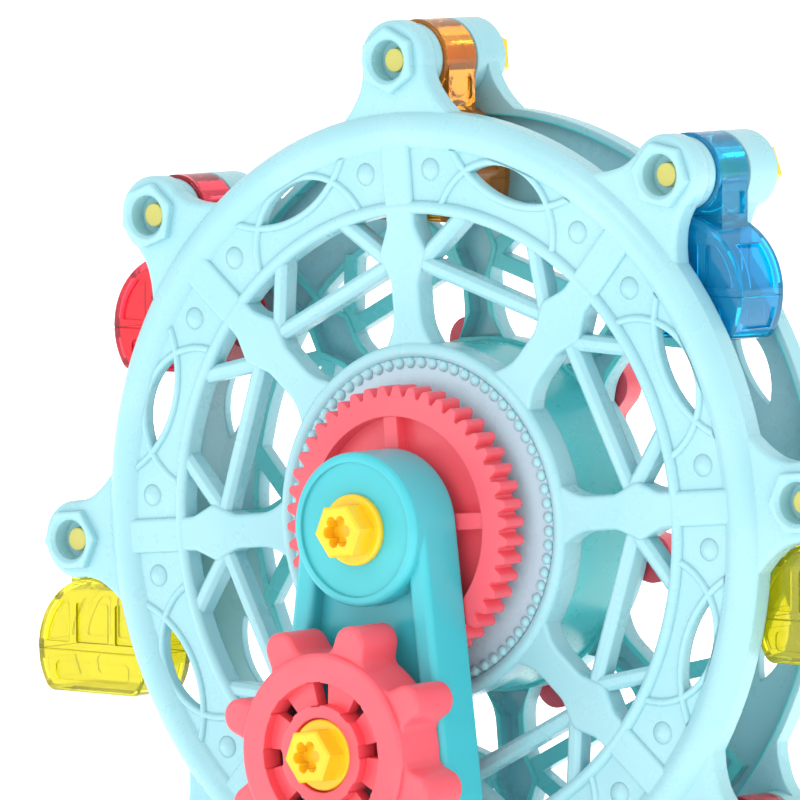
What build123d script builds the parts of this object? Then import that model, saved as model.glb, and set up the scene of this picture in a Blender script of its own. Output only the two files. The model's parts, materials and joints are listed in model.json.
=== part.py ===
from build123d import *
import math
import os

os.makedirs("parts", exist_ok=True)

# Tabletop ferris wheel toy turned by a hand wheel. Millimetres, +Z up, -Y is the front.

# where the two axes lie
hub_height = 174.0
face_y = 5.0
wheel_turn = 5.5
crank_turn = 30.0

# gears
gear_module = 1.45
wheel_teeth = 46
pinion_teeth = 28
pressure_angle = 25.0
tooth_share = 0.47
wheel_addendum = 0.45
pinion_addendum = 1.0
gear_width = 7.0
gear_rim = 5.0
gear_web = 2.6
seat_radius = 14.0
pinion_width = 3.4

# wheel plates, radii from the hub axis
ring_outer = 100.5
ring_inner = 75.3
bead_inner = 91.2
panel_thick = 2.2
panel_sink = 1.2
plate_depth = 7.0
wheel_depth = 35.0
spoke_count = 8
spoke_half = 4.25
spoke_start = 42.0
spoke_end = 95.0
spoke_flare = 6.0
knot_half = 7.2
knot_start = 59.0
knot_peak = 65.9
knot_end = 72.5
spoke_round = 1.0
spoke_depth = 6.0
spoke_wall = 1.6
channel_wall = 1.5
chord_distance = 60.3
brace_width = 4.0
brace_round = 1.1
hub_rim_outer = 44.0
hub_rim_inner = 40.3
disc_sink = 0.1
disc_thick = 3.0
eye_centre = 87.4
eye_upper_shift = 13.1
eye_upper_radius = 16.8
eye_lower_shift = 23.4
eye_lower_radius = 27.1
line_width = 1.8
line_rise = 0.9

# lugs that carry the gondolas
lug_circle = 113.0
web_places = [(98.6, 17.0), (102.0, 13.6), (106.5, 10.4)]
lug_radius = 9.8
collar_radius = 8.9
collar_depth = 4.0
collar_neck = 0.5
lug_round = 1.6
pad_size = 8.25
pad_rise = 2.1
lug_sink = 1.5
mouth_radius = 5.0
mouth_dish = 0.9
pin_radius = 2.85
pin_gap = 0.07

# axle and shaft
axle_radius = 5.0
shaft_radius = 4.0
bearing_gap = 0.07

# front upright
boss_radius = 18.8
boss_proud = 2.7
boss_face_radius = 16.4
boss_face_sink = 0.8
upright_thick = 13.3
panel_depth = 4.5
panel_wall = 2.4
rib_width = 6.2
upright_flare = 7.27
side_wall = 2.6

# rear cog
rear_disc = 38.5
rear_tip = 50.0
rear_teeth = 6
rear_tooth_half = 6.0
rear_cog_thick = 6.0
rear_cog_gap = 1.4
rear_dimple_circle = 23.0
rear_dimple_radius = 6.5

# hand wheel
cog_width = 15.2
cog_ring = 24.6
cog_tip = 32.4
cog_teeth = 8
cog_tooth_half = 4.4
window_outer = 17.6
window_inner = 12.1
bolt_cup = 9.1
cog_round = 1.1
grip_reach = 21.0
grip_length = 20.5
grip_radius = 7.2
grip_pin = 2.6
grip_gap = 0.07

# bolts
flange_radius = 8.7
flange_rise = 1.7
bolt_hex = 12.2
bolt_height = 7.4
bolt_turn = 8.0
socket_length = 8.2
socket_width = 2.7
socket_depth = 3.6
bolt_shank = 2.9
bolt_hole = 2.95

# gondolas
cabin_radius = 18.2
cabin_half_depth = 9.0
cabin_centre = 28.5
cabin_bottom = 39.7
belt_drop = 29.0
edge_round = 1.0
loop_half_width = 6.2
loop_round = 0.8
neck_half = 9.8
neck_half_depth = 5.15
tub_corner = 3.0
shell_wall = 1.6
pane_sink = 0.8
pane_height = 10.2
pane_frame = 2.7
mullion_reach = 6.4
mullion_width = 2.4
panel_recess = 0.6

# base
base_length = 176.0
base_width = 136.0
base_height = 15.0
foot_height = 1.6
base_corner = 40.0
base_wall = 2.6
cover_thick = 2.0
flange_thick = 4.0
foot_bolt_reach = 30.0
screw_inset = 20.0
foot_inset_x = 31.0
foot_inset_y = 18.0
foot_radius = 8.0
foot_plate_length = 92.0
foot_plate_width = 38.0

# derived positions
crank_height = hub_height - gear_module * (wheel_teeth + pinion_teeth) / 2
mid_turn = wheel_turn + 180.0 / spoke_count
sector = 360.0 / spoke_count
rear_y = face_y + wheel_depth
gondola_y = face_y + wheel_depth / 2
gear_back = face_y - 3.1
gear_front = gear_back - gear_width
upright_back = gear_front - 0.5
rib_face = upright_back - upright_thick
boss_rim = rib_face - boss_proud
boss_face = boss_rim + boss_face_sink
panel_face = rib_face + panel_depth
cog_back = rib_face - 0.4
cog_front = cog_back - cog_width
cog_seat = cog_front + 2.0
axle_front = boss_face + 6.8
cover_inset = base_wall + 0.1
foot_holes = [(foot_bolt_reach, rib_face - 10.6), (-foot_bolt_reach, rib_face - 10.6)]
axle_rear = rear_y + rear_cog_gap + rear_cog_thick + 0.5


def upright_plane(y, z=hub_height, x=0.0):
    # vertical sketch plane seen from the front, sketch Y is up
    return Plane(origin=(x, y, z), x_dir=(1, 0, 0), z_dir=(0, -1, 0))


def lug_places():
    # centres of the eight lugs as (x, z)
    angles = [math.radians(wheel_turn + index * sector) for index in range(spoke_count)]
    return [(lug_circle * math.cos(a), hub_height + lug_circle * math.sin(a)) for a in angles]


def bar_outline(start, end, width):
    # corners of a straight bar between two points given as (radius, degrees)
    ax = start[0] * math.cos(math.radians(start[1]))
    ay = start[0] * math.sin(math.radians(start[1]))
    bx = end[0] * math.cos(math.radians(end[1]))
    by = end[0] * math.sin(math.radians(end[1]))
    length = math.hypot(bx - ax, by - ay)
    nx = -(by - ay) / length * width / 2
    ny = (bx - ax) / length * width / 2
    return [(ax + nx, ay + ny), (bx + nx, by + ny), (bx - nx, by - ny), (ax - nx, ay - ny)]


def spoke_outline(inset, start, end):
    # sharp corners of a spoke along its radius, with the flare at the hub and the hexagonal swelling
    half = spoke_half - inset
    knot = knot_half - inset
    upper = [(start, half + 3.6), (start + spoke_flare, half), (knot_start, half)]
    upper += [(knot_peak, knot), (knot_end, half), (end, half)]
    lower = [(r, -w) for r, w in reversed(upper)]
    return upper + lower


def near_radius(shape, radius):
    # corners of a sketch at one distance along its X axis
    return [v for v in shape.vertices() if abs(v.X - radius) < 0.05]


def involute(angle):
    return math.tan(angle) - angle


def tooth_outline(teeth, addendum):
    # one gear tooth on the sketch X axis, from below the root circle to the blunt tip
    pitch = gear_module * teeth / 2
    base = pitch * math.cos(math.radians(pressure_angle))
    root = pitch - 1.25 * gear_module
    tip = pitch + addendum * gear_module
    shoulder = tip - 0.25 * gear_module
    half_pitch = tooth_share * math.pi / teeth + involute(math.radians(pressure_angle))
    flank = []
    for step in range(4):
        radius = root + (shoulder - root) * step / 3
        reach = half_pitch - involute(math.acos(min(1.0, base / radius)))
        flank.append((radius * math.cos(reach), radius * math.sin(reach)))
    foot = (flank[0][0] - 0.6, flank[0][1])
    crown = (tip, flank[-1][1] - 0.3 * gear_module)
    upper = [foot] + flank + [crown]
    lower = [(x, -y) for x, y in reversed(upper)]
    return upper + lower


# ---------------------------------------------------------------- wheel plates

with BuildSketch() as eye_opening:
    with Locations((eye_centre - eye_upper_shift, 0)):
        Circle(eye_upper_radius)
    with Locations((eye_centre + eye_lower_shift, 0)):
        Circle(eye_lower_radius, mode=Mode.INTERSECT)


# one raised line of the decoration, rounded on top, about a circle centre on the spoke gap's middle line
def ring_line(centre, radius):
    with BuildPart() as bead:
        with BuildSketch(Plane.XY):
            with BuildLine():
                Polyline(
                    (centre + radius, face_y + panel_sink + 0.6), (centre + radius, face_y + panel_sink),
                )
                ThreePointArc(
                    (centre + radius, face_y + panel_sink),
                    (centre + radius + line_width / 2, face_y + panel_sink - line_rise),
                    (centre + radius + line_width, face_y + panel_sink),
                )
                Polyline(
                    (centre + radius + line_width, face_y + panel_sink),
                    (centre + radius + line_width, face_y + panel_sink + 0.6),
                    (centre + radius, face_y + panel_sink + 0.6),
                )
            make_face()
        revolve(axis=Axis((centre, 0, 0), (0, 1, 0)))
    return bead.part


with BuildPart() as eye_lines:
    add(ring_line(eye_centre - eye_upper_shift, eye_upper_radius))
    add(ring_line(eye_centre + eye_lower_shift, eye_lower_radius))
    with BuildSketch(upright_plane(face_y + spoke_depth, 0.0)):
        Circle(bead_inner + 0.3)
        Circle(ring_inner + 2.9, mode=Mode.SUBTRACT)
        Rectangle(2 * bead_inner, bead_inner, align=(Align.MAX, Align.CENTER), mode=Mode.SUBTRACT)
    extrude(amount=12.0, mode=Mode.INTERSECT)

# one spoke along the X axis, rounded towards the front
with BuildPart() as spoke_form:
    with BuildSketch(upright_plane(face_y + spoke_depth, 0.0)) as spoke_shape:
        Polygon(*spoke_outline(0.0, spoke_start, spoke_end), align=None)
        fillet(near_radius(spoke_shape, spoke_start + spoke_flare), 12.0)
        fillet(near_radius(spoke_shape, knot_start), 5.0)
        fillet(near_radius(spoke_shape, knot_end), 5.0)
        fillet(near_radius(spoke_shape, knot_peak), 3.0)
    extrude(amount=spoke_depth)
    spoke_rim = spoke_form.faces().sort_by(Axis.Y)[0].edges()
    fillet(spoke_rim.filter_by(lambda e: spoke_start < e.center().X < spoke_end), spoke_round)

# the three braces between two spokes
with BuildPart() as brace_form:
    with BuildSketch(upright_plane(face_y + 5.6, 0.0)):
        with Locations((chord_distance, 0)):
            Rectangle(brace_width, 48.0)
        Polygon(*bar_outline((63.5, 18.5), (77.0, 8.0), brace_width), align=None)
        Polygon(*bar_outline((63.5, -18.5), (77.0, -8.0), brace_width), align=None)
    extrude(amount=5.0)
    brace_rim = brace_form.faces().sort_by(Axis.Y)[0].edges()
    brace_rim = brace_rim.filter_by(lambda e: abs(e.center().Z) < 23.5 and e.center().X < 75.0)
    chamfer(brace_rim, brace_round)

# web that flares from the outer ring to a lug
with BuildPart() as web_form:
    with BuildSketch(upright_plane(face_y + plate_depth, 0.0)) as web_shape:
        upper = web_places + [(lug_circle, lug_radius - 0.6)]
        Polygon(*upper, *[(r, -w) for r, w in reversed(upper)], align=None)
        fillet(near_radius(web_shape, web_places[1][0]), 12.0)
        fillet(near_radius(web_shape, web_places[2][0]), 12.0)
    extrude(amount=plate_depth - lug_sink)
    web_rim = web_form.faces().sort_by(Axis.Y)[0].edges()
    fillet(web_rim.filter_by(lambda e: abs(e.center().Z) > 5.0), lug_round - 0.2)

spoke_angles = [wheel_turn + index * sector for index in range(spoke_count)]
gap_angles = [mid_turn + index * sector for index in range(spoke_count)]
spoke_places = [Location((0, 0, hub_height), (0, -angle, 0)) for angle in spoke_angles]
gap_places = [Location((0, 0, hub_height), (0, -angle, 0)) for angle in gap_angles]

with BuildPart() as plate_form:
    # spokes, swellings and braces
    with Locations(*spoke_places):
        add(spoke_form.part)
    with Locations(*gap_places):
        add(brace_form.part)
    # the channels are open towards the inside of the wheel
    with BuildSketch(upright_plane(face_y + spoke_depth)):
        with PolarLocations(0, spoke_count, start_angle=wheel_turn):
            Polygon(*spoke_outline(channel_wall, spoke_start + 2.0, spoke_end - 3.0), align=None)
    extrude(amount=spoke_depth - spoke_wall, mode=Mode.SUBTRACT)
    # decorated panel between the two ring beads
    with BuildSketch(upright_plane(face_y + panel_sink + panel_thick)):
        Circle(bead_inner + 2.0)
        Circle(ring_inner + 1.2, mode=Mode.SUBTRACT)
    extrude(amount=panel_thick)
    with Locations(*gap_places):
        add(eye_lines.part)
    with BuildSketch(upright_plane(face_y + spoke_depth)):
        with PolarLocations(0, spoke_count, start_angle=mid_turn):
            add(eye_opening.sketch)
    extrude(amount=7.0, mode=Mode.SUBTRACT)
    # outer ring with its skirt, inner ring and hub rim, turned about the hub axis
    with BuildSketch(Plane.XY.offset(hub_height)):
        with BuildLine():
            Polyline((bead_inner, face_y + 3.4), (bead_inner, face_y + 1.2))
            ThreePointArc(
                (bead_inner, face_y + 1.2),
                (bead_inner + 4.6, face_y - 0.7),
                (ring_outer, face_y + 2.0),
            )
            Polyline(
                (ring_outer, face_y + 2.0),
                (ring_outer, face_y + plate_depth),
                (ring_outer - 2.0, face_y + plate_depth),
                (ring_outer - 2.0, face_y + 3.4),
                (bead_inner, face_y + 3.4),
            )
        make_face()
    revolve(axis=Axis((0, 0, hub_height), (0, 1, 0)))
    with BuildSketch(Plane.XY.offset(hub_height)):
        with BuildLine():
            ThreePointArc(
                (ring_inner, face_y + 1.0),
                (ring_inner + 1.6, face_y - 0.2),
                (ring_inner + 3.2, face_y + 1.0),
            )
            Polyline(
                (ring_inner + 3.2, face_y + 1.0),
                (ring_inner + 3.2, face_y + 3.4),
                (ring_inner + 1.8, face_y + 3.4),
                (ring_inner + 1.8, face_y + 5.4),
                (ring_inner, face_y + 5.4),
                (ring_inner, face_y + 1.0),
            )
        make_face()
    revolve(axis=Axis((0, 0, hub_height), (0, 1, 0)))
    with BuildSketch(Plane.XY.offset(hub_height)):
        with BuildLine():
            ThreePointArc(
                (hub_rim_inner, face_y + 0.4),
                (hub_rim_inner + 1.6, face_y - 0.9),
                (hub_rim_outer, face_y + 0.6),
            )
            Polyline(
                (hub_rim_outer, face_y + 0.6),
                (hub_rim_outer, face_y + plate_depth),
                (hub_rim_inner, face_y + plate_depth),
                (hub_rim_inner, face_y + disc_sink + disc_thick),
                (axle_radius + bearing_gap, face_y + disc_sink + disc_thick),
                (axle_radius + bearing_gap, face_y + disc_sink),
                (hub_rim_inner, face_y + disc_sink),
                (hub_rim_inner, face_y + 0.4),
            )
        make_face()
    revolve(axis=Axis((0, 0, hub_height), (0, 1, 0)))
    # bearing sleeve round the axle
    with BuildSketch(upright_plane(face_y + plate_depth)):
        Circle(axle_radius + 4.0)
        Circle(axle_radius + bearing_gap, mode=Mode.SUBTRACT)
    extrude(amount=plate_depth - disc_sink)
    # webs that flare from the outer ring to each lug
    with Locations(*spoke_places):
        add(web_form.part)

# front lug turned about its own axis, a thin groove parts it from the collar behind
with BuildPart() as lug_form:
    with BuildSketch(Plane.XY):
        with BuildLine():
            Polyline(
                (lug_circle, face_y + lug_sink),
                (lug_circle + lug_radius - lug_round, face_y + lug_sink),
            )
            RadiusArc(
                (lug_circle + lug_radius - lug_round, face_y + lug_sink),
                (lug_circle + lug_radius, face_y + lug_sink + lug_round),
                -lug_round,
            )
            Polyline(
                (lug_circle + lug_radius, face_y + lug_sink + lug_round),
                (lug_circle + lug_radius, face_y + plate_depth),
                (lug_circle + collar_radius - 0.7, face_y + plate_depth),
                (lug_circle + collar_radius - 0.7, face_y + plate_depth + collar_neck),
                (lug_circle + collar_radius, face_y + plate_depth + collar_neck),
                (lug_circle + collar_radius, face_y + plate_depth + collar_depth),
                (lug_circle, face_y + plate_depth + collar_depth),
                (lug_circle, face_y + lug_sink),
            )
        make_face()
    revolve(axis=Axis((lug_circle, 0, 0), (0, 1, 0)))
    with BuildSketch(upright_plane(face_y + 2.0, 0.0)) as pad_shape:
        with Locations((lug_circle, 0)):
            RegularPolygon(pad_size, 6)
        fillet(pad_shape.vertices(), 0.8)
    extrude(amount=pad_rise + 0.5)
    fillet(lug_form.faces().sort_by(Axis.Y)[0].edges(), 0.6)

with BuildPart() as front_plate:
    add(plate_form.part)
    with Locations(*spoke_places):
        add(lug_form.part)
    with BuildSketch(upright_plane(face_y + plate_depth + collar_depth + 1.0)):
        with PolarLocations(lug_circle, spoke_count, start_angle=wheel_turn):
            Circle(pin_radius + pin_gap)
    extrude(amount=20.0, mode=Mode.SUBTRACT)
    # wide mouth in front of the pin, dished at its rim
    with BuildSketch(upright_plane(face_y + 4.8)):
        with PolarLocations(lug_circle, spoke_count, start_angle=wheel_turn):
            Circle(mouth_radius)
    extrude(amount=8.0, mode=Mode.SUBTRACT)
    with BuildSketch(upright_plane(face_y + 2.0 - pad_rise - 0.5)):
        with PolarLocations(lug_circle, spoke_count, start_angle=wheel_turn):
            Circle(mouth_radius + mouth_dish)
    extrude(amount=-mouth_dish, taper=45.0, mode=Mode.SUBTRACT)
front_plate.part.label = "front_plate"
export_step(front_plate.part, "parts/front_plate.step")

with BuildPart() as rear_plate:
    mirror(plate_form.part, about=Plane.XZ.offset(-gondola_y))
    with BuildSketch(upright_plane(rear_y)):
        with PolarLocations(lug_circle, spoke_count, start_angle=wheel_turn):
            Circle(lug_radius)
    extrude(amount=plate_depth + collar_depth)
    with BuildSketch(upright_plane(rear_y + 1.0)):
        with PolarLocations(lug_circle, spoke_count, start_angle=wheel_turn):
            Circle(pin_radius + pin_gap)
    extrude(amount=30.0, mode=Mode.SUBTRACT)
rear_plate.part.label = "rear_plate"
export_step(rear_plate.part, "parts/rear_plate.step")

# open drum that spaces the two plates, with four webs to its own sleeve
with BuildPart() as hub_drum:
    with BuildSketch(upright_plane(rear_y - plate_depth)):
        Circle(hub_rim_outer - 1.0)
        Circle(hub_rim_outer - 3.2, mode=Mode.SUBTRACT)
        Circle(axle_radius + 4.0)
        with PolarLocations(24.5, 4, start_angle=wheel_turn + sector / 2):
            Rectangle(33.5, 2.2)
        Circle(axle_radius + bearing_gap, mode=Mode.SUBTRACT)
    extrude(amount=wheel_depth - 2 * plate_depth)
hub_drum.part.label = "hub_drum"
export_step(hub_drum.part, "parts/hub_drum.step")

# ---------------------------------------------------------------- gears

wheel_pitch = gear_module * wheel_teeth / 2
wheel_root = wheel_pitch - 1.25 * gear_module

with BuildPart() as main_gear:
    with BuildSketch(upright_plane(gear_back)):
        Circle(wheel_root)
        with PolarLocations(0, wheel_teeth, start_angle=-90.0):
            Polygon(*tooth_outline(wheel_teeth, wheel_addendum), align=None)
        Circle(wheel_root - gear_rim, mode=Mode.SUBTRACT)
    extrude(amount=gear_width)
    # sunk web with four ribs and a hub that seats on the wheel plate
    with BuildSketch(upright_plane(gear_back)):
        Circle(wheel_root - gear_rim + 0.4)
    extrude(amount=gear_web)
    with BuildSketch(upright_plane(gear_back)):
        with PolarLocations(17.5, 4, start_angle=wheel_turn):
            Rectangle(20.0, 4.0)
        Circle(axle_radius + 4.5)
    extrude(amount=gear_width - 0.8)
    with BuildSketch(upright_plane(face_y + disc_sink)):
        Circle(seat_radius)
    extrude(amount=face_y + disc_sink - gear_back)
    with BuildSketch(upright_plane(face_y + disc_sink + 1.0)):
        Circle(axle_radius + bearing_gap)
    extrude(amount=20.0, mode=Mode.SUBTRACT)
main_gear.part.label = "main_gear"
export_step(main_gear.part, "parts/main_gear.step")

pinion_pitch = gear_module * pinion_teeth / 2
pinion_root = pinion_pitch - 1.25 * gear_module

with BuildPart() as pinion:
    with BuildSketch(upright_plane(gear_front + pinion_width, crank_height)):
        Circle(pinion_root)
        with PolarLocations(0, pinion_teeth, start_angle=90.0 + 180.0 / pinion_teeth):
            Polygon(*tooth_outline(pinion_teeth, pinion_addendum), align=None)
        Circle(shaft_radius, mode=Mode.SUBTRACT)
    extrude(amount=pinion_width)
    # shallow ring recess in the rear face
    with BuildSketch(upright_plane(gear_front + pinion_width, crank_height)):
        Circle(pinion_root - 2.6)
        Circle(shaft_radius + 3.5, mode=Mode.SUBTRACT)
    extrude(amount=1.2, mode=Mode.SUBTRACT)
pinion.part.label = "pinion"
export_step(pinion.part, "parts/pinion.step")

# six round-ended teeth on a disc behind the rear plate
with BuildPart() as rear_cog:
    with BuildSketch(upright_plane(rear_y + rear_cog_gap + rear_cog_thick)) as star:
        Circle(rear_disc)
        with PolarLocations(0, rear_teeth, start_angle=48.0):
            with Locations((rear_tip - rear_tooth_half - 7.0, 0)):
                Rectangle(14.0, 2 * rear_tooth_half)
            with Locations((rear_tip - rear_tooth_half, 0)):
                Circle(rear_tooth_half)
        fillet([v for v in star.vertices() if abs(math.hypot(v.X, v.Y) - rear_disc) < 0.1], 2.5)
    extrude(amount=rear_cog_thick)
    with BuildSketch(upright_plane(rear_y + rear_cog_gap + 2.0)):
        with PolarLocations(rear_dimple_circle, rear_teeth, start_angle=18.0):
            Circle(rear_dimple_radius)
    extrude(amount=-8.0, mode=Mode.SUBTRACT)
    with BuildSketch(upright_plane(rear_y + rear_cog_gap)):
        Circle(seat_radius)
    extrude(amount=disc_sink + rear_cog_gap)
    with BuildSketch(upright_plane(rear_y - 4.0)):
        Circle(axle_radius + bearing_gap)
    extrude(amount=-16.0, mode=Mode.SUBTRACT)
rear_cog.part.label = "rear_cog"
export_step(rear_cog.part, "parts/rear_cog.step")


# ---------------------------------------------------------------- bolts


def bolt_head(flange):
    # hexagonal head with a flange and a six-lobed socket, its seat at the origin, facing the front
    with BuildPart() as head:
        with BuildSketch(Plane.XZ):
            Circle(flange)
        extrude(amount=flange_rise)
        fillet(head.faces().sort_by(Axis.Y)[0].edges(), 0.7)
        with BuildSketch(Plane.XZ):
            RegularPolygon(bolt_hex / 2, 6, major_radius=False, rotation=bolt_turn)
        extrude(amount=bolt_height)
        chamfer(head.faces().sort_by(Axis.Y)[0].edges(), 0.5)
        with BuildSketch(Plane.XZ.offset(bolt_height)):
            with PolarLocations(0, 3, start_angle=bolt_turn):
                SlotOverall(socket_length, socket_width)
        extrude(amount=-socket_depth, mode=Mode.SUBTRACT)
    return head.part


with BuildPart() as hub_bolt:
    with Locations((0, boss_face, hub_height)):
        add(bolt_head(flange_radius))
    with BuildSketch(upright_plane(axle_front + 9.0)):
        Circle(bolt_shank)
    extrude(amount=axle_front + 9.0 - boss_face)
hub_bolt.part.label = "hub_bolt"
export_step(hub_bolt.part, "parts/hub_bolt.step")

with BuildPart() as crank_bolt:
    with Locations((0, cog_seat, crank_height)):
        add(bolt_head(flange_radius))
    with BuildSketch(upright_plane(cog_seat + 10.5, crank_height)):
        Circle(bolt_shank)
    extrude(amount=10.5)
crank_bolt.part.label = "crank_bolt"
export_step(crank_bolt.part, "parts/crank_bolt.step")

# bolt at the rear end of the axle, turned to face the back
with BuildPart() as rear_bolt:
    with Locations(Location((0, axle_rear + 1.5, hub_height), (0, 0, 180))):
        add(bolt_head(flange_radius))
    with BuildSketch(upright_plane(axle_rear + 1.5)):
        Circle(bolt_shank)
    extrude(amount=9.5)
rear_bolt.part.label = "rear_bolt"
export_step(rear_bolt.part, "parts/rear_bolt.step")

with BuildPart() as rear_washer:
    with BuildSketch(upright_plane(axle_rear + 1.5)):
        Circle(flange_radius + 0.6)
        Circle(bolt_hole, mode=Mode.SUBTRACT)
    extrude(amount=1.5)
rear_washer.part.label = "rear_washer"
export_step(rear_washer.part, "parts/rear_washer.step")

# the eight gondola bolts: head on the rear lug, pin end sunk in the front lug
with BuildPart() as gondola_bolts:
    with BuildSketch(upright_plane(rear_y)):
        with PolarLocations(lug_circle, spoke_count, start_angle=wheel_turn):
            Circle(8.6)
    extrude(amount=-1.5)
    with BuildSketch(upright_plane(rear_y + 1.5)):
        with PolarLocations(lug_circle, spoke_count, start_angle=wheel_turn):
            RegularPolygon(5.9, 6, major_radius=False)
    extrude(amount=-4.5)
    with BuildSketch(upright_plane(rear_y)):
        with PolarLocations(lug_circle, spoke_count, start_angle=wheel_turn):
            Circle(pin_radius)
    extrude(amount=wheel_depth - 3.0)
gondola_bolts.part.label = "gondola_bolts"
export_step(gondola_bolts.part, "parts/gondola_bolts.step")

# ---------------------------------------------------------------- axle and crank

with BuildPart() as axle:
    with BuildSketch(upright_plane(axle_rear)):
        Circle(axle_radius)
    extrude(amount=axle_rear - axle_front)
    with BuildSketch(upright_plane(upright_back)):
        Circle(axle_radius + 3.0)
    extrude(amount=1.4)
    with BuildSketch(upright_plane(axle_front + 10.0)):
        Circle(bolt_hole)
    extrude(amount=12.0, mode=Mode.SUBTRACT)
    with BuildSketch(upright_plane(axle_rear + 1.0)):
        Circle(bolt_hole)
    extrude(amount=10.0, mode=Mode.SUBTRACT)
axle.part.label = "axle"
export_step(axle.part, "parts/axle.step")

shaft_front = cog_seat + 2.5
shaft_rear = gear_front + pinion_width

with BuildPart() as crank_shaft:
    with BuildSketch(upright_plane(shaft_rear + 1.2, crank_height)):
        Circle(shaft_radius + 2.5)
    extrude(amount=1.2)
    with BuildSketch(upright_plane(shaft_rear, crank_height)):
        Circle(shaft_radius)
    extrude(amount=shaft_rear - shaft_front)
    with BuildSketch(upright_plane(shaft_front + 9.0, crank_height)):
        Circle(bolt_hole)
    extrude(amount=10.0, mode=Mode.SUBTRACT)
crank_shaft.part.label = "crank_shaft"
export_step(crank_shaft.part, "parts/crank_shaft.step")

with BuildPart() as hand_wheel:
    # toothed body, its front a little behind the ring
    with BuildSketch(upright_plane(cog_back, crank_height)) as cog_outline:
        Circle(cog_ring)
        with PolarLocations(0, cog_teeth, start_angle=crank_turn):
            Polygon(
                (cog_ring - 4.0, cog_tooth_half + 0.9), (cog_tip - cog_tooth_half, cog_tooth_half),
                (cog_tip - cog_tooth_half, -cog_tooth_half), (cog_ring - 4.0, -cog_tooth_half - 0.9),
                align=None,
            )
            with Locations((cog_tip - cog_tooth_half, 0)):
                Circle(cog_tooth_half)
        fillet([v for v in cog_outline.vertices() if abs(math.hypot(v.X, v.Y) - cog_ring) < 0.05], 2.6)
    extrude(amount=cog_width - 1.4)
    fillet(hand_wheel.faces().sort_by(Axis.Y)[0].edges(), cog_round)
    with BuildSketch(upright_plane(cog_back, crank_height)):
        Circle(cog_ring)
    extrude(amount=cog_width)
    fillet(hand_wheel.faces().sort_by(Axis.Y)[0].edges(), cog_round)
    # sunk band with eight windows, hollow behind
    with BuildSketch(upright_plane(cog_front + 3.0, crank_height)):
        Circle(window_outer)
        Circle(window_inner, mode=Mode.SUBTRACT)
    extrude(amount=4.0, mode=Mode.SUBTRACT)
    with BuildSketch(upright_plane(cog_back + 1.0, crank_height)):
        Circle(cog_ring - 2.4)
        Circle(window_inner - 0.6, mode=Mode.SUBTRACT)
    extrude(amount=cog_width - 5.5, mode=Mode.SUBTRACT)
    with BuildSketch(upright_plane(cog_back, crank_height)):
        with PolarLocations(0, cog_teeth, start_angle=crank_turn + 180.0 / cog_teeth):
            Polygon(
                (window_inner - 0.4, 1.5), (window_outer + 0.1, 2.4),
                (window_outer + 0.1, -2.4), (window_inner - 0.4, -1.5), align=None,
            )
    extrude(amount=cog_width, mode=Mode.SUBTRACT)
    # hub: cup for the bolt, rear boss towards the upright
    with BuildSketch(upright_plane(panel_face - 0.4, crank_height)):
        Circle(9.5)
    extrude(amount=panel_face - cog_back)
    with BuildSketch(upright_plane(cog_seat, crank_height)):
        Circle(bolt_cup)
    extrude(amount=4.0, mode=Mode.SUBTRACT)
    with BuildSketch(upright_plane(cog_seat + 3.0, crank_height)):
        Circle(bolt_hole)
    extrude(amount=6.0, mode=Mode.SUBTRACT)
    with BuildSketch(upright_plane(panel_face, crank_height)):
        Circle(shaft_radius)
    extrude(amount=panel_face - shaft_front, mode=Mode.SUBTRACT)
    # boss that holds the grip pin
    with BuildSketch(upright_plane(cog_back, crank_height - grip_reach)):
        Circle(grip_pin + 1.0)
    extrude(amount=cog_width - 1.0)
    with BuildSketch(upright_plane(cog_back + 1.0, crank_height - grip_reach)):
        Circle(grip_pin)
    extrude(amount=cog_width + 2.0, mode=Mode.SUBTRACT)
hand_wheel.part.label = "hand_wheel"
export_step(hand_wheel.part, "parts/hand_wheel.step")

grip_end = cog_front - grip_length - 1.0

with BuildPart() as grip_post:
    with BuildSketch(upright_plane(cog_back, crank_height - grip_reach)):
        Circle(grip_pin)
    extrude(amount=cog_back - grip_end)
    with BuildSketch(upright_plane(grip_end, crank_height - grip_reach)):
        Circle(grip_pin + 2.2)
    extrude(amount=1.8)
    chamfer(grip_post.faces().sort_by(Axis.Y)[0].edges(), 0.6)
grip_post.part.label = "grip_post"
export_step(grip_post.part, "parts/grip_post.step")

with BuildPart() as crank_grip:
    with BuildSketch(Plane.XY.offset(crank_height - grip_reach)):
        with BuildLine():
            Polyline(
                (grip_pin + grip_gap, cog_front - 0.5), (grip_radius - 1.4, cog_front - 0.5),
                (grip_radius - 0.4, cog_front - 2.0),
            )
            Spline(
                (grip_radius - 0.4, cog_front - 2.0), (grip_radius - 1.0, cog_front - 10.0),
                (grip_radius, cog_front - grip_length + 2.5),
            )
            Polyline(
                (grip_radius, cog_front - grip_length + 2.5),
                (grip_radius - 1.6, cog_front - grip_length + 0.5),
                (grip_pin + grip_gap, cog_front - grip_length + 0.5), (grip_pin + grip_gap, cog_front - 0.5),
            )
        make_face()
    revolve(axis=Axis((0, 0, crank_height - grip_reach), (0, 1, 0)))
crank_grip.part.label = "crank_grip"
export_step(crank_grip.part, "parts/crank_grip.step")

# ---------------------------------------------------------------- upright and base

flare_sin = math.sin(math.radians(upright_flare))
flare_cos = math.cos(math.radians(upright_flare))
foot_level = base_height - hub_height


def upright_outline(inset, bottom):
    # corners of the spreading sides below the hub, drawn in from the edge by inset
    radius = boss_radius - inset
    top = (radius * flare_cos, radius * flare_sin)
    low = ((radius - bottom * flare_sin) / flare_cos, bottom)
    return [top, low, (-low[0], low[1]), (-top[0], top[1])]


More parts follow.
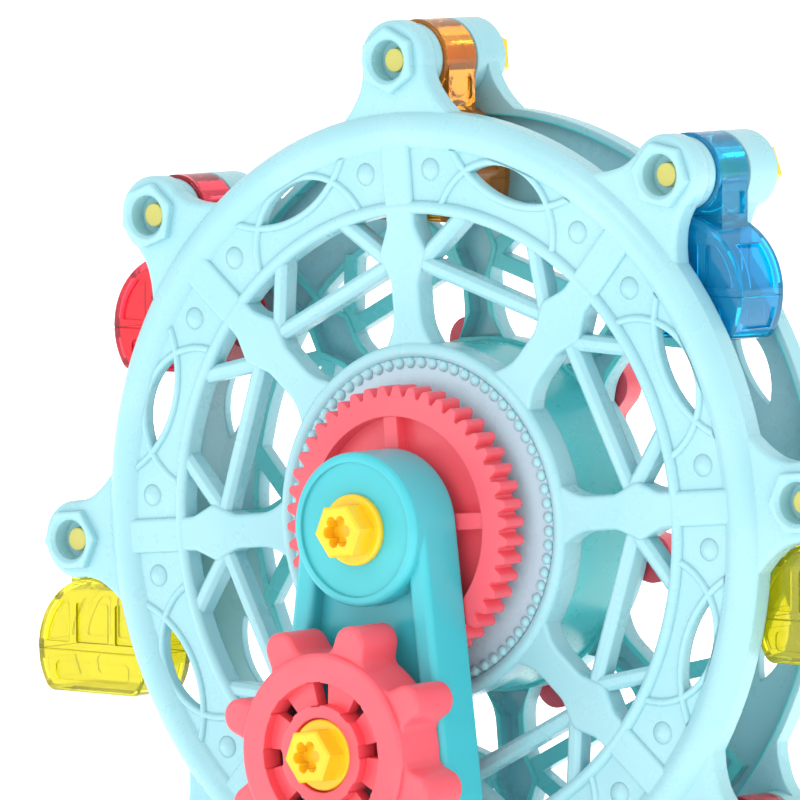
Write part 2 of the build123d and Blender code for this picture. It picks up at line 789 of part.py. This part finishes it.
with BuildPart() as front_upright:
    with BuildSketch(upright_plane(upright_back)):
        Circle(boss_radius)
        Polygon(*upright_outline(0.0, foot_level), align=None)
    extrude(amount=upright_thick)
    # sunk panel between two side ribs
    with BuildSketch(upright_plane(panel_face)):
        Polygon(*upright_outline(rib_width, foot_level + 12.0), align=None)
    extrude(amount=panel_depth + 1.0, mode=Mode.SUBTRACT)
    rib_edges = front_upright.faces().sort_by(Axis.Y)[0].edges()
    fillet(rib_edges.filter_by(lambda e: e.center().Z > base_height + 1.0), 1.8)
    # round boss over the hub
    with BuildSketch(upright_plane(panel_face)):
        Circle(boss_radius)
    extrude(amount=panel_face - boss_rim)
    fillet(front_upright.faces().sort_by(Axis.Y)[0].edges(), 1.5)
    with BuildSketch(upright_plane(boss_face)):
        Circle(boss_face_radius)
    extrude(amount=2.0, mode=Mode.SUBTRACT)
    # hollow back with tubes for the axle and the shaft and three cross webs
    with BuildSketch(upright_plane(upright_back)):
        Circle(boss_radius - side_wall)
        Polygon(*upright_outline(side_wall, foot_level + 3.0), align=None)
    extrude(amount=upright_back - panel_face - panel_wall, mode=Mode.SUBTRACT)
    with BuildSketch(upright_plane(upright_back)):
        with Locations((0, crank_height - hub_height)):
            Circle(shaft_radius + 4.0)
    extrude(amount=upright_back - panel_face - panel_wall)
    with BuildSketch(upright_plane(upright_back - 1.4)):
        Circle(axle_radius + 4.5)
    extrude(amount=upright_back - panel_face - panel_wall - 1.4)
    with BuildSketch(upright_plane(upright_back)):
        with Locations((0, -82.0), (0, -104.0), (0, -128.0)):
            Rectangle(50.0, 2.2)
    extrude(amount=upright_back - panel_face - panel_wall)
    with BuildSketch(upright_plane(upright_back + 1.0)):
        Circle(axle_radius)
    extrude(amount=upright_back + 1.0 - axle_front, mode=Mode.SUBTRACT)
    with BuildSketch(upright_plane(axle_front + 1.0)):
        Circle(bolt_hole)
    extrude(amount=12.0, mode=Mode.SUBTRACT)
    with BuildSketch(upright_plane(upright_back + 1.0, crank_height)):
        Circle(shaft_radius + bearing_gap)
    extrude(amount=upright_thick, mode=Mode.SUBTRACT)
    # foot flange bolted to the base
    with BuildSketch(Plane.XY.offset(base_height)):
        with Locations((0, rib_face - 2.1)):
            RectangleRounded(foot_plate_length, foot_plate_width, 7.0)
    extrude(amount=flange_thick)
    foot_top = base_height + flange_thick
    level_faces = front_upright.faces().filter_by(Axis.Z)
    foot_face = level_faces.filter_by(lambda f: abs(f.center().Z - foot_top) < 0.1).sort_by(SortBy.AREA)[-1]
    chamfer(foot_face.edges().filter_by(lambda e: abs(e.center().X) > 30.0 or e.center().Y < -30.0), 0.8)
    with BuildSketch(Plane.XY.offset(base_height - 1.0)):
        with Locations(*foot_holes):
            Circle(bolt_hole)
    extrude(amount=8.0, mode=Mode.SUBTRACT)
front_upright.part.label = "front_upright"
export_step(front_upright.part, "parts/front_upright.step")

with BuildPart() as foot_bolts:
    with Locations(*[Location((x, y, base_height + flange_thick), (-90, 0, 0)) for x, y in foot_holes]):
        add(bolt_head(flange_radius - 0.2))
    with BuildSketch(Plane.XY.offset(base_height + flange_thick)):
        with Locations(*foot_holes):
            Circle(bolt_shank)
    extrude(amount=-12.0)
foot_bolts.part.label = "foot_bolts"
export_step(foot_bolts.part, "parts/foot_bolts.step")

with BuildPart() as base_shell:
    with BuildSketch(Plane.XY.offset(foot_height)):
        RectangleRounded(base_length, base_width, base_corner)
    extrude(amount=base_height - foot_height)
    fillet(base_shell.faces().sort_by(Axis.Z)[-1].edges(), 4.0)
    with BuildSketch(Plane.XY.offset(foot_height)):
        RectangleRounded(base_length - 2 * base_wall, base_width - 2 * base_wall, base_corner - base_wall)
    extrude(amount=base_height - foot_height - 4.4, mode=Mode.SUBTRACT)
    with BuildSketch(Plane.XY.offset(foot_height + cover_thick)):
        with GridLocations(base_length - 2 * screw_inset, base_width - 2 * screw_inset, 2, 2):
            Circle(4.5)
        with Locations(*foot_holes):
            Circle(6.0)
    extrude(amount=base_height - foot_height - 6.0)
    with BuildSketch(Plane.XY.offset(foot_height + cover_thick)):
        with GridLocations(base_length - 2 * screw_inset, base_width - 2 * screw_inset, 2, 2):
            Circle(1.5)
    extrude(amount=7.0, mode=Mode.SUBTRACT)
    with BuildSketch(Plane.XY.offset(base_height + 1.0)):
        with Locations(*foot_holes):
            Circle(bolt_hole)
    extrude(amount=-10.0, mode=Mode.SUBTRACT)
base_shell.part.label = "base_shell"
export_step(base_shell.part, "parts/base_shell.step")

with BuildPart() as base_cover:
    with BuildSketch(Plane.XY.offset(foot_height)):
        RectangleRounded(
            base_length - 2 * cover_inset, base_width - 2 * cover_inset, base_corner - cover_inset,
        )
        with GridLocations(base_length - 2 * screw_inset, base_width - 2 * screw_inset, 2, 2):
            Circle(1.6, mode=Mode.SUBTRACT)
    extrude(amount=cover_thick)
base_cover.part.label = "base_cover"
export_step(base_cover.part, "parts/base_cover.step")

with BuildPart() as cover_screws:
    with BuildSketch(Plane.XY.offset(foot_height)):
        with GridLocations(base_length - 2 * screw_inset, base_width - 2 * screw_inset, 2, 2):
            Circle(2.8)
    extrude(amount=-1.0)
    with BuildSketch(Plane.XY.offset(foot_height)):
        with GridLocations(base_length - 2 * screw_inset, base_width - 2 * screw_inset, 2, 2):
            Circle(1.45)
    extrude(amount=7.0)
cover_screws.part.label = "cover_screws"
export_step(cover_screws.part, "parts/cover_screws.step")

with BuildPart() as base_feet:
    with BuildSketch():
        with GridLocations(base_length - 2 * foot_inset_x, base_width - 2 * foot_inset_y, 2, 2):
            Circle(foot_radius)
    extrude(amount=foot_height)
base_feet.part.label = "base_feet"
export_step(base_feet.part, "parts/base_feet.step")

# ---------------------------------------------------------------- gondolas


cabin_back = gondola_y + cabin_half_depth

# vaulted upper half with its hanging loop and windows, the pivot at the origin
with BuildPart() as cabin:
    with BuildSketch(upright_plane(cabin_back, 0.0)):
        with Locations((0, -cabin_centre)):
            Circle(cabin_radius)
        with Locations((0, -belt_drop - 20.0)):
            Rectangle(60.0, 40.0, mode=Mode.SUBTRACT)
    extrude(amount=2 * cabin_half_depth)
    fillet(cabin.faces().filter_by(Axis.Y).edges().filter_by(GeomType.CIRCLE), edge_round)
    with BuildSketch(upright_plane(cabin_back - shell_wall, 0.0)):
        with Locations((0, -cabin_centre)):
            Circle(cabin_radius - shell_wall)
        with Locations((0, -belt_drop - 20.0)):
            Rectangle(60.0, 39.0, mode=Mode.SUBTRACT)
    extrude(amount=2 * (cabin_half_depth - shell_wall), mode=Mode.SUBTRACT)
    # three sunk panes in the front and back walls
    for wall in (cabin_back - pane_sink, gondola_y - cabin_half_depth - 1.0):
        with BuildSketch(upright_plane(wall + pane_sink + 1.0, 0.0)) as panes:
            with Locations((0, -cabin_centre)):
                Circle(cabin_radius - pane_frame)
            with Locations((0, pane_frame - 0.7 - belt_drop)):
                Rectangle(40.0, pane_height, align=(Align.CENTER, Align.MIN), mode=Mode.INTERSECT)
            with Locations((mullion_reach, -cabin_centre), (-mullion_reach, -cabin_centre)):
                Rectangle(mullion_width, 40.0, mode=Mode.SUBTRACT)
            fillet(panes.vertices(), 0.7)
        extrude(amount=pane_sink + 1.0, mode=Mode.SUBTRACT)
    # one sunk pane in each curved side
    with BuildSketch(upright_plane(gondola_y + 4.8, 0.0)):
        with Locations((0, pane_frame - 0.7 - belt_drop)):
            Rectangle(60.0, pane_height, align=(Align.CENTER, Align.MIN))
        with Locations((0, -cabin_centre)):
            Circle(cabin_radius - pane_sink, mode=Mode.SUBTRACT)
    extrude(amount=9.6, mode=Mode.SUBTRACT)
    # neck with a recess in each side, and the loop
    with BuildSketch(upright_plane(gondola_y + neck_half_depth, 0.0)):
        Rectangle(2 * neck_half, 13.6, align=(Align.CENTER, Align.MAX))
    extrude(amount=2 * neck_half_depth)
    for side in (-1, 1):
        neck_side = Plane(origin=(side * neck_half, gondola_y, -7.0), x_dir=(0, 1, 0), z_dir=(side, 0, 0))
        with BuildSketch(neck_side):
            RectangleRounded(8.0, 5.5, 1.0)
        extrude(amount=-pane_sink, mode=Mode.SUBTRACT)
    with BuildSketch(upright_plane(gondola_y + loop_half_width, 0.0)):
        Circle(lug_radius)
    extrude(amount=2 * loop_half_width)
    loop_faces = cabin.faces().filter_by(Axis.Y).filter_by(lambda f: abs(f.center().Z) < 5.0)
    loop_rims = loop_faces.edges().filter_by(lambda e: abs(e.center().Y - gondola_y) > loop_half_width - 0.1)
    fillet(loop_rims, loop_round)
    with BuildSketch(upright_plane(gondola_y + 7.0, 0.0)):
        Circle(pin_radius + pin_gap)
    extrude(amount=14.0, mode=Mode.SUBTRACT)

# lower half: an open tub that carries the same round outline down to a flat bottom
with BuildPart() as tub:
    with BuildSketch(upright_plane(cabin_back, 0.0)) as side:
        with Locations((0, -cabin_centre)):
            Circle(cabin_radius)
        with Locations((0, -belt_drop)):
            Rectangle(60.0, cabin_bottom - belt_drop, align=(Align.CENTER, Align.MAX), mode=Mode.INTERSECT)
        fillet(side.vertices().sort_by(Axis.Y)[:2], tub_corner)
    extrude(amount=2 * cabin_half_depth)
    rims = tub.faces().filter_by(Axis.Y).edges().filter_by(lambda e: e.center().Z < -belt_drop - 0.5)
    fillet(rims, edge_round)
    chamfer(tub.faces().sort_by(Axis.Z)[-1].edges(), 0.25)
    with BuildSketch(upright_plane(cabin_back - shell_wall, 0.0)) as room:
        with Locations((0, -cabin_centre)):
            Circle(cabin_radius - shell_wall)
        with Locations((0, 1.0 - belt_drop)):
            room_height = cabin_bottom - belt_drop + 1.0 - shell_wall
            Rectangle(60.0, room_height, align=(Align.CENTER, Align.MAX), mode=Mode.INTERSECT)
        fillet(room.vertices().sort_by(Axis.Y)[:2], tub_corner - shell_wall)
    extrude(amount=2 * (cabin_half_depth - shell_wall), mode=Mode.SUBTRACT)
    # sunk panels in the front, the back and both sides
    for wall in (cabin_back - panel_recess, gondola_y - cabin_half_depth - 1.0):
        with BuildSketch(upright_plane(wall + panel_recess + 1.0, 0.0)):
            with Locations((0, -belt_drop - 5.2)):
                RectangleRounded(24.0, 4.8, 1.5)
        extrude(amount=panel_recess + 1.0, mode=Mode.SUBTRACT)
    with BuildSketch(upright_plane(gondola_y + 5.5, 0.0)):
        with Locations((0, -belt_drop - 5.4)):
            Rectangle(60.0, 5.0)
        with Locations((0, -cabin_centre)):
            Circle(cabin_radius - panel_recess, mode=Mode.SUBTRACT)
    extrude(amount=11.0, mode=Mode.SUBTRACT)

for number, (x, z) in enumerate(lug_places(), start=1):
    hung_cabin = Pos(x, 0, z) * cabin.part
    hung_cabin.label = f"cabin_{number}"
    export_step(hung_cabin, f"parts/cabin_{number}.step")
    hung_tub = Pos(x, 0, z) * tub.part
    hung_tub.label = f"tub_{number}"
    export_step(hung_tub, f"parts/tub_{number}.step")
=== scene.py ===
import bmesh
import bpy
import json
import math
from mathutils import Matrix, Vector


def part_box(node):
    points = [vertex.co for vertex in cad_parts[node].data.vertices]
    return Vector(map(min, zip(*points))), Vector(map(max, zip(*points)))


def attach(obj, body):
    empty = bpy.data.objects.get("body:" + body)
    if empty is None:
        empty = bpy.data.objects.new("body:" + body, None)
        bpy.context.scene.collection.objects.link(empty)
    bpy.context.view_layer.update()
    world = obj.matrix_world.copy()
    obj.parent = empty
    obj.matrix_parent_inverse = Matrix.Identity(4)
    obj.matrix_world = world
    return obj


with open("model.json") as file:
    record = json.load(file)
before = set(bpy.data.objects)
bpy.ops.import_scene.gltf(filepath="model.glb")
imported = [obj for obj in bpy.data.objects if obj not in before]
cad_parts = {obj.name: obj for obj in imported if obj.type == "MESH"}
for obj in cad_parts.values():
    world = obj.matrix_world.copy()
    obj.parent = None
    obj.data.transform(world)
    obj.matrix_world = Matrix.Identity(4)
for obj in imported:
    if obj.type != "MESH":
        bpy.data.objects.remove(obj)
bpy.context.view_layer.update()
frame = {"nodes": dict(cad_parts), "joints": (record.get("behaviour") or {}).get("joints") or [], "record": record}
millimetre = 0.001

joints = {joint["name"]: Vector(joint["pos_m"]) for joint in frame["joints"]}
hub = joints["wheel_turn"]
firstLug = joints["gondola_swing_1"]
wheelTurn = math.degrees(math.atan2(firstLug.z - hub.z, firstLug.x - hub.x))
lugCount = 8
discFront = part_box("main_gear")[1].y  # the gear's hub seats on the front disc
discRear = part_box("rear_cog")[0].y  # the rear cog's hub seats on the rear disc
print("frame loaded, nodes:", len(frame["nodes"]))


# shader maths as plain expressions


class Wire:
    # one socket of a node tree
    def __init__(self, graph, socket):
        self.graph = graph
        self.socket = socket

    def maths(self, operation, *values):
        return self.graph.node("ShaderNodeMath", {"operation": operation}, dict(enumerate(values)))

    def __add__(self, other):
        return self.maths("ADD", self, other)

    def __sub__(self, other):
        return self.maths("SUBTRACT", self, other)

    def __rsub__(self, other):
        return self.maths("SUBTRACT", other, self)

    def __mul__(self, other):
        return self.maths("MULTIPLY", self, other)

    __radd__ = __add__
    __rmul__ = __mul__

    def root(self):
        return self.maths("SQRT", self)

    def less(self, limit):
        return self.maths("LESS_THAN", self, limit)

    def ramp(self, low, high):
        # 0 below low, 1 above high, smooth between
        settings = {"interpolation_type": "SMOOTHSTEP"}
        inputs = {"Value": self, "From Min": low, "From Max": high}
        return self.graph.node("ShaderNodeMapRange", settings, inputs)


class Graph:
    # one material's node tree
    def __init__(self, name):
        self.material = bpy.data.materials.new(name)
        self.material.use_nodes = True
        self.tree = self.material.node_tree
        self.tree.nodes.clear()
        self.place = self.node("ShaderNodeTexCoord", {}, {}, "Object")

    def node(self, kind, settings, inputs, output=0):
        made = self.tree.nodes.new(kind)
        for key, value in settings.items():
            setattr(made, key, value)
        for key, value in inputs.items():
            if isinstance(value, Wire):
                self.tree.links.new(value.socket, made.inputs[key])
            else:
                made.inputs[key].default_value = value
        return Wire(self, made.outputs[output])

    def noise(self, scale, detail, roughness=0.5):
        inputs = {
            "Vector": self.place, "Scale": scale, "Detail": detail, "Roughness": roughness,
        }
        return self.node("ShaderNodeTexNoise", {}, inputs)

    def blend(self, mask, colourA, colourB):
        inputs = {"Factor": mask, 6: colourA, 7: colourB}  # 6 and 7 are the colour sockets
        return self.node("ShaderNodeMix", {"data_type": "RGBA"}, inputs, 2)

    def finish(self, **inputs):
        named = {key.replace("_", " "): value for key, value in inputs.items()}
        shader = self.node("ShaderNodeBsdfPrincipled", {}, named)
        output = self.tree.nodes.new("ShaderNodeOutputMaterial")
        self.tree.links.new(shader.socket, output.inputs["Surface"])
        return self.material


def tint(red, green, blue):
    return (red, green, blue, 1.0)


# solid moulded plastics, edge is a rounded edge's radius in millimetres

plastics = {
    "aqua_plastic": {
        "colour": (0.345, 0.63, 0.69), "deep": (0.31, 0.605, 0.67), "rough": 0.28, "edge": 0.7,
    },
    "coral_plastic": {
        "colour": (0.94, 0.115, 0.15), "deep": (0.90, 0.095, 0.13), "rough": 0.34, "edge": 0.5,
    },
    "yellow_plastic": {
        "colour": (0.98, 0.64, 0.02), "deep": (0.95, 0.56, 0.012), "rough": 0.26, "edge": 0.5,
    },
    "turquoise_plastic": {
        "colour": (0.065, 0.53, 0.60), "deep": (0.05, 0.49, 0.56), "rough": 0.30, "edge": 0.6,
    },
    "white_plastic": {
        "colour": (0.86, 0.87, 0.86), "deep": (0.82, 0.83, 0.82), "rough": 0.40, "edge": 0.3,
    },
    "foot_rubber": {
        "colour": (0.42, 0.45, 0.45), "deep": (0.36, 0.39, 0.39), "rough": 0.75, "edge": 0.4,
    },
}
moulding = {
    "mottle": {"scale": 38.0, "detail": 2.0},
    "mottleRamp": (0.3, 0.7),
    "gloss": {"scale": 120.0, "detail": 4.0, "roughness": 0.6},
    "glossSpread": 0.10,
    "skin": {"scale": 1500.0, "detail": 2.0},
    "skinStrength": 0.04,
    "skinDepth": 0.0002,
    "edgeSamples": 4,
    "glow": 0.12,
    "glowReach": 0.004,
    "glowColours": (0.6, 1.0, 1.0),
}
# places on the wheel in metres: depths along Y, radii round its axis
# painted shade: a deeper teal on the plastic between the front and rear plates, inside the lugs' circle
betweenPlatesShade = {
    "front": 0.0115, "rear": 0.0335, "soft": 0.003, "radius": 0.099, "colour": (0.12, 0.66, 0.68),
}
# painted shade and reflection of the gear: a greyer blue on the hub discs and between them
hubDiscShade = {"radius": 0.0403, "spare": 0.0002, "colour": (0.47, 0.68, 0.78)}
# painted shade: a duller olive yellow on the pin ends sunk in the front lugs
sunkPinShade = {"radius": 0.100, "depth": 0.020, "colour": (0.62, 0.56, 0.13)}


def wheelPlace(graph):
    # distance from the wheel's axis, and depth from front to rear
    apart = graph.node("ShaderNodeSeparateXYZ", {}, {"Vector": graph.place})
    across, depth, height = (Wire(graph, apart.socket.node.outputs[axis]) for axis in "XYZ")
    upward = height - hub.z
    return (across * across + upward * upward).root(), depth


def aquaPaintedShade(graph, shade):
    # painted shade: the plastic is a deeper teal between the two plates, and the hub discs a greyer blue for the
    # gear's shade and reflection painted on them
    radius, depth = wheelPlace(graph)
    front, rear, soft = betweenPlatesShade["front"], betweenPlatesShade["rear"], betweenPlatesShade["soft"]
    shadeBetweenPlates = depth.ramp(front, front + soft) * (1.0 - depth.ramp(rear, rear + soft))
    shade = graph.blend(shadeBetweenPlates * radius.less(betweenPlatesShade["radius"]), shade, tint(*betweenPlatesShade["colour"]))
    # painted shade and reflection of the gear on the hub discs, a greyer blue
    middle = depth - (discFront + discRear) / 2
    reach = (discRear - discFront) / 2 + hubDiscShade["spare"]
    disc = radius.less(hubDiscShade["radius"]) * (middle * middle).less(reach ** 2)
    return graph.blend(disc, shade, tint(*hubDiscShade["colour"]))


def yellowPaintedShade(graph, shade):
    # painted shade: the pins' ends, sunk in the front lugs, are darker, olive and duller
    radius, depth = wheelPlace(graph)
    sunkShadeMask = (1.0 - radius.less(sunkPinShade["radius"])) * depth.less(sunkPinShade["depth"])
    return graph.blend(sunkShadeMask, shade, tint(*sunkPinShade["colour"]))


placedPaintedShades = {"aqua_plastic": aquaPaintedShade, "yellow_plastic": yellowPaintedShade}


def mouldedPlastic(name, colour, deep, rough, edge):
    # soft mottling, a fine skin, uneven gloss and rounded edges
    graph = Graph(name)
    cloud = graph.noise(**moulding["mottle"]).ramp(*moulding["mottleRamp"])
    shade = graph.blend(cloud, tint(*colour), tint(*deep))
    # aqua and yellow plastics get painted shade by their place on the wheel
    if name in placedPaintedShades:
        shade = placedPaintedShades[name](graph, shade)
    spread = moulding["glossSpread"]
    gloss = graph.noise(**moulding["gloss"]) * spread + (rough - spread / 2)
    rounded = graph.node(
        "ShaderNodeBevel", {"samples": moulding["edgeSamples"]}, {"Radius": edge * millimetre},
    )
    bump = graph.node("ShaderNodeBump", {}, {
        "Strength": moulding["skinStrength"], "Distance": moulding["skinDepth"],
        "Height": graph.noise(**moulding["skin"]), "Normal": rounded,
    })
    return graph.finish(
        Base_Color=shade, Roughness=gloss, Normal=bump, IOR=1.5,
        Subsurface_Weight=moulding["glow"], Subsurface_Radius=moulding["glowColours"],
        Subsurface_Scale=moulding["glowReach"],
    )


# steel of the small screws

steel = {
    "colour": (0.6, 0.6, 0.6), "grain": {"scale": 400.0, "detail": 3.0}, "spread": 0.2,
    "rough": 0.25,
}


def plated(name):
    graph = Graph(name)
    gloss = graph.noise(**steel["grain"]) * steel["spread"] + steel["rough"]
    return graph.finish(Base_Color=tint(*steel["colour"]), Roughness=gloss, Metallic=1.0)


# clear plastics of the gondolas

clears = {
    "clear_yellow": (0.84, 0.78, 0.02),
    "clear_blue": (0.002, 0.63, 1.0),
    "clear_orange": (1.0, 0.42, 0.03),
    "clear_red": (0.92, 0.04, 0.09),
}
clearLook = {
    "wave": {"scale": 160.0, "detail": 2.0},
    "waveStrength": 0.10,
    "waveDepth": 0.0004,
    "streak": {"scale": 60.0, "detail": 3.0},
    "streakRamp": (0.25, 0.75),
    "streakShare": 0.08,
    "paleShare": 0.25,
    "rough": 0.03,
    "bending": 1.42,
    "through": 0.82,
}


def clearPlastic(name, colour):
    # tinted see-through plastic with a slightly wavy skin
    graph = Graph(name)
    bump = graph.node("ShaderNodeBump", {}, {
        "Strength": clearLook["waveStrength"], "Distance": clearLook["waveDepth"],
        "Height": graph.noise(**clearLook["wave"]),
    })
    streak = graph.noise(**clearLook["streak"]).ramp(*clearLook["streakRamp"])
    share = clearLook["paleShare"]
    pale = tuple((1.0 - share) * part + share for part in colour)
    shade = graph.blend(streak * clearLook["streakShare"], tint(*colour), tint(*pale))
    return graph.finish(
        Base_Color=shade, Roughness=clearLook["rough"], IOR=clearLook["bending"],
        Transmission_Weight=clearLook["through"], Normal=bump,
    )


finishes = {name: mouldedPlastic(name, **values) for name, values in plastics.items()}
finishes.update({name: clearPlastic(name, colour) for name, colour in clears.items()})
finishes["screw_steel"] = plated("screw_steel")

for part in frame["record"]["subparts"]:
    node = frame["nodes"][part["node"]]
    node.data.materials.clear()
    node.data.materials.append(finishes[part["material_slot"]])
print("finishes made:", len(finishes))


# helpers for new pieces


def placed(name, data):
    # a new object for some data, linked at the origin
    made = bpy.data.objects.new(name, data)
    bpy.context.scene.collection.objects.link(made)
    return made


def piece(name, mesh, body, slot):
    # closes a bmesh into an object that rides on a body and takes a finish
    data = bpy.data.meshes.new(name)
    mesh.to_mesh(data)
    mesh.free()
    data.polygons.foreach_set("use_smooth", [True] * len(data.polygons))
    made = placed(name, data)
    data.materials.append(finishes[slot])
    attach(made, body)
    return made


def raisedSpot(profile, base, outward, segments):
    # spins a profile of radii and heights, outward is -1 to the front and 1 to the rear
    mesh = bmesh.new()
    chain = [mesh.verts.new((radius, outward * height, 0.0)) for radius, height in profile]
    edges = [mesh.edges.new(pair) for pair in zip(chain, chain[1:])]
    bmesh.ops.spin(
        mesh, geom=chain + edges, cent=(0, 0, 0), axis=(0, 1, 0), angle=math.radians(360),
        steps=segments, use_merge=True,
    )
    bmesh.ops.remove_doubles(mesh, verts=mesh.verts, dist=1e-7)
    bmesh.ops.edgeloop_fill(mesh, edges=[edge for edge in mesh.edges if edge.is_boundary])
    bmesh.ops.recalc_face_normals(mesh, faces=mesh.faces)
    bmesh.ops.translate(mesh, verts=mesh.verts, vec=base)
    return mesh


def aroundHub(mesh, count):
    # copies everything round the hub axis
    geometry = mesh.verts[:] + mesh.edges[:] + mesh.faces[:]
    bmesh.ops.spin(
        mesh, geom=geometry, cent=hub, axis=(0, 1, 0), angle=math.radians(360.0 - 360.0 / count),
        steps=count - 1, use_duplicate=True,
    )
    bmesh.ops.recalc_face_normals(mesh, faces=mesh.faces)


# beads round the hub discs and buttons on the ring panels

discSink = 0.0001  # how far the plate's face lies behind the hub disc's
beads = {
    "circle": 0.0391, "radius": 0.00147, "height": 0.00125, "count": 72, "sink": 0.0001,
    "segments": 14, "angles": (0, 25, 50, 72),
}
buttons = {
    "circle": 0.0863, "radius": 0.0025, "height": 0.0012, "offset": 6.7, "sink": 0.0001,
    "segments": 24, "panelSink": 0.0012,
    # shares of the radius and the height, from the rim to the middle
    "shares": (
        (1.3, 0.0), (1.15, 0.06), (1.0, 0.2), (0.82, 0.43),
        (0.64, 0.66), (0.44, 0.86), (0.22, 0.97), (0.0, 1.0),
    ),
}

beadAngles = [math.radians(angle) for angle in beads["angles"]]
beadProfile = [
    (beads["radius"] * math.cos(angle), beads["height"] * math.sin(angle)) for angle in beadAngles
] + [(0.0, beads["height"])]
buttonProfile = [
    (share * buttons["radius"], rise * buttons["height"]) for share, rise in buttons["shares"]
]
faceFront = discFront - discSink
faceRear = discRear + discSink


def beadRing(disc, outward):
    centre = (hub.x + beads["circle"], disc - outward * beads["sink"], hub.z)
    mesh = raisedSpot(beadProfile, centre, outward, beads["segments"])
    aroundHub(mesh, beads["count"])
    return mesh


def buttonRing(face, outward):
    # two buttons beside each lug
    height = face - outward * buttons["panelSink"] - outward * buttons["sink"]
    mesh = bmesh.new()
    for angle in (wheelTurn - buttons["offset"], wheelTurn + buttons["offset"]):
        way = Vector((math.cos(math.radians(angle)), 0.0, math.sin(math.radians(angle))))
        spot = way * buttons["circle"]
        centre = (hub.x + spot.x, height, hub.z + spot.z)
        button = raisedSpot(buttonProfile, centre, outward, buttons["segments"])
        data = bpy.data.meshes.new("button")
        button.to_mesh(data)
        button.free()
        mesh.from_mesh(data)
        bpy.data.meshes.remove(data)
    aroundHub(mesh, lugCount)
    return mesh


sides = {"front": (-1, discFront, faceFront), "rear": (1, discRear, faceRear)}
for side, (outward, disc, face) in sides.items():
    piece(f"hub_beads_{side}", beadRing(disc, outward), "wheel", "aqua_plastic")
    piece(f"panel_buttons_{side}", buttonRing(face, outward), "wheel", "aqua_plastic")
print("beads and buttons placed")


# studio with a white floor that glows, white surroundings and three soft lamps

studio = {
    "floorHalf": 40.0, "floorColour": (0.9, 0.9, 0.9), "floorRough": 0.9, "floorGlow": 1.0,
    "world": 1.0,
}
lamps = {
    "key": {"place": (-0.3, -1.7, 1.3), "size": 0.6, "watts": 4.0},
    "fill": {"place": (1.9, -0.9, 0.8), "size": 0.6, "watts": 2.0},
    "top": {"place": (0.3, 0.5, 1.9), "size": 0.8, "watts": 2.4},
}
white = tint(1.0, 1.0, 1.0)

floorMesh = bmesh.new()
bmesh.ops.create_grid(floorMesh, x_segments=1, y_segments=1, size=studio["floorHalf"])
floorData = bpy.data.meshes.new("studio_floor")
floorMesh.to_mesh(floorData)
floorMesh.free()
floorObject = placed("studio_floor", floorData)
floorData.materials.append(Graph("floor").finish(
    Base_Color=tint(*studio["floorColour"]), Roughness=studio["floorRough"],
    Emission_Color=white, Emission_Strength=studio["floorGlow"],
))

world = bpy.data.worlds.new("studio_world")
world.use_nodes = True
background = world.node_tree.nodes["Background"]
background.inputs["Color"].default_value = white
background.inputs["Strength"].default_value = studio["world"]
bpy.context.scene.world = world

for name, lamp in lamps.items():
    light = bpy.data.lights.new(name, "AREA")
    light.energy = lamp["watts"]
    light.size = lamp["size"]
    holder = placed(name, light)
    holder.location = lamp["place"]
    holder.rotation_euler = (hub - holder.location).to_track_quat("-Z", "Y").to_euler()
bpy.context.scene.view_settings.view_transform = "Standard"


# camera, from the vanishing of the wheel's plates and the plumb upright

shot = {
    "azimuth": 38.063, "elevation": 5.201, "distance": 2.24484, "focalPixels": 9193.1,
    "hubPixel": (421.4, 522.15), "frameSize": 800.0, "sensor": 36.0, "clipEnd": 200.0,
}

turn = math.radians(shot["azimuth"])
rise = math.radians(shot["elevation"])
target = Vector((hub.x, faceFront, hub.z))
away = Vector((
    math.sin(turn) * math.cos(rise), -math.cos(turn) * math.cos(rise), math.sin(rise),
))
right = Vector((math.cos(turn), math.sin(turn), 0.0))
upward = away.cross(right)
shiftRight, shiftDown = (
    (pixel - shot["frameSize"] / 2) / shot["focalPixels"] for pixel in shot["hubPixel"]
)
lookAlong = -away - right * shiftRight + upward * shiftDown
camera = bpy.data.cameras.new("camera")
camera.sensor_width = shot["sensor"]
camera.lens = shot["focalPixels"] * shot["sensor"] / shot["frameSize"]
camera.clip_end = shot["clipEnd"]
viewer = placed("camera", camera)
viewer.location = target + away * shot["distance"]
viewer.rotation_euler = lookAlong.to_track_quat("-Z", "Y").to_euler()
bpy.context.scene.camera = viewer
print("studio and camera set")
